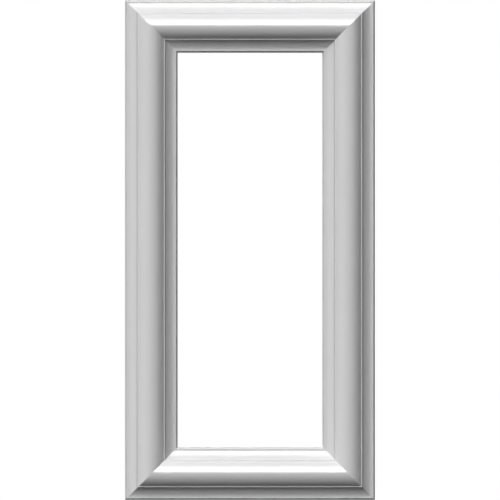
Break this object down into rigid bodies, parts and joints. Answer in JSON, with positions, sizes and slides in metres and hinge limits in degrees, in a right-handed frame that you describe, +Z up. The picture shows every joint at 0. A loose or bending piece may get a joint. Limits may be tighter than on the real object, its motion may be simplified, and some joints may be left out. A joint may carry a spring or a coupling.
{
  "type": "moulded wainscot panel",
  "caption": "Upright rectangular open frame of cast panel moulding with mitred corners: a round torus with a fillet, a cove and a flat edge on each side of it, and a flat back.",
  "frame": {"origin": "on the flat back, at the middle of the bottom rail", "axes": "+X across the panel, +Y into the wall along the back's normal, +Z up the panel; the moulded face looks along -Y"},
  "size_m": [0.2032, 0.0127, 0.4064],
  "materials": {
    "primer": "satin white factory primer on rigid foam"
  },
  "bodies": {
    "root": {"moulded_frame": "primer"}
  },
  "joints": []
}
